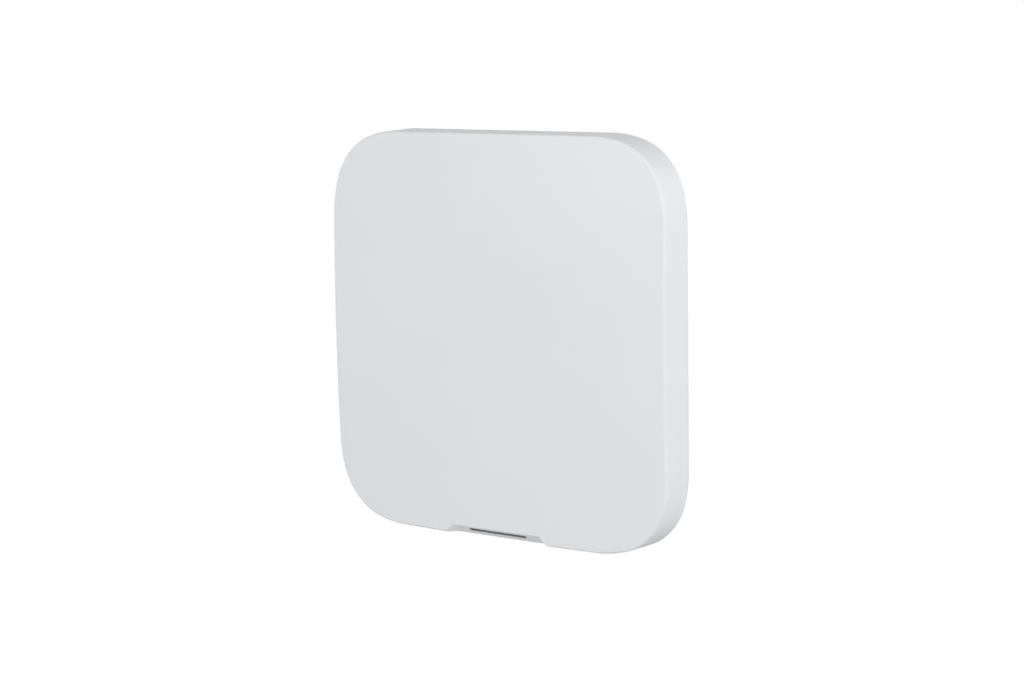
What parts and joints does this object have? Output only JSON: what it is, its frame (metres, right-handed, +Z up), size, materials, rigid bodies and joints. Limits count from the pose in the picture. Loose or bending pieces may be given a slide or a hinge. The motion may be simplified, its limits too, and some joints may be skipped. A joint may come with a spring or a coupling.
{
  "type": "alarm control panel",
  "caption": "Wall-mounted wireless alarm hub: soft square cover with an indicator bar, rear housing with connector bay, slide-on wall bracket, boards and backup battery.",
  "frame": {"origin": "centre of the wall face, midway between the cover's sides and its top and bottom", "axes": "+Z up, front face towards -Y, +Y into the wall, +X to the right seen from the front"},
  "size_m": [0.163, 0.034, 0.163],
  "materials": {
    "white_shell": "fine satin moulding",
    "indicator_lens": "smoked translucent lens",
    "clear_plastic": "polished clear moulding",
    "bracket_plastic": "fine spark texture",
    "white_moulding": "plain moulding",
    "spring_steel": "drawn wire",
    "dark_plastic": "black moulding compound",
    "grey_plastic": "plain grey moulding",
    "circuit_board": "green solder mask",
    "power_circuit_board": "green solder mask",
    "anodised_metal": "black anodised",
    "tin_plate": "tinned sheet",
    "antenna_film": "copper track under film",
    "cell_steel": "nickel plated",
    "contact_gold": "thin gold plating",
    "winding_tape": "yellow winding tape over ferrite",
    "capacitor_sleeve": "shrunk sleeve",
    "fuse_glass": "clear glass with plated caps",
    "insulation_film": "translucent film",
    "cell_sleeve": "shrunk sleeve",
    "zinc_screws": "zinc plated"
  },
  "bodies": {
    "bracket": {"wall_bracket": "bracket_plastic"},
    "plunger": {"tamper_plunger": "white_moulding"},
    "power_key": {"power_button": "grey_plastic"},
    "reset_key": {"reset_button": "grey_plastic"},
    "left_tray": {"card_tray_left": "grey_plastic"},
    "right_tray": {"card_tray_right": "grey_plastic"},
    "panel": {"front_cover": "white_shell", "light_bar": "indicator_lens", "light_guide": "clear_plastic", "rear_housing": "white_shell", "tamper_spring": "spring_steel", "tamper_switch": "dark_plastic", "power_switch": "dark_plastic", "reset_switch": "dark_plastic", "main_board": "circuit_board", "power_board": "power_circuit_board", "processor": "dark_plastic", "heat_sink": "anodised_metal", "memory_chips": "dark_plastic", "radio_shield": "tin_plate", "cellular_module": "tin_plate", "wifi_module": "tin_plate", "left_antenna": "tin_plate", "right_antenna": "tin_plate", "cellular_antenna": "antenna_film", "indicator_lights": "clear_plastic", "clock_cell_holder": "dark_plastic", "clock_cell": "cell_steel", "battery_connector": "white_moulding", "power_link": "white_moulding", "ethernet_jack": "dark_plastic", "jack_contacts": "contact_gold", "ethernet_transformer": "dark_plastic", "power_inlet": "dark_plastic", "inlet_pins": "contact_gold", "card_socket_left": "dark_plastic", "card_socket_right": "dark_plastic", "power_transformer": "winding_tape", "power_capacitors": "capacitor_sleeve", "line_choke": "winding_tape", "line_fuse": "fuse_glass", "insulation_sheet": "insulation_film", "battery_cells": "cell_sleeve", "battery_strips": "cell_steel", "battery_clip": "grey_plastic", "housing_screws": "zinc_screws", "main_board_screws": "zinc_screws", "power_board_screws": "zinc_screws", "clip_screws": "zinc_screws"}
  },
  "joints": [
    {"name": "panel_lift", "type": "slide", "parent": "bracket", "child": "panel", "axis": [0, 0, 1], "range_m": [0, 0.008]},
    {"name": "plunger_press", "type": "slide", "parent": "panel", "child": "plunger", "axis": [0, 1, 0], "range_m": [0, 0.0016], "stiffness_N_per_m": 150, "springref_m": 0.005, "deforming": ["tamper_spring"]},
    {"name": "power_press", "type": "slide", "parent": "panel", "child": "power_key", "axis": [0, 0, 1], "range_m": [0, 0.0008], "stiffness_N_per_m": 800},
    {"name": "reset_press", "type": "slide", "parent": "panel", "child": "reset_key", "axis": [0, 0, 1], "range_m": [0, 0.0005], "stiffness_N_per_m": 800},
    {"name": "left_tray_pull", "type": "slide", "parent": "panel", "child": "left_tray", "axis": [0, 0, -1], "range_m": [0, 0.02]},
    {"name": "right_tray_pull", "type": "slide", "parent": "panel", "child": "right_tray", "axis": [0, 0, -1], "range_m": [0, 0.02]}
  ],
  "couplings": [
    {"joint": "plunger_press", "follows": "panel_lift", "ratio": 0.2}
  ]
}
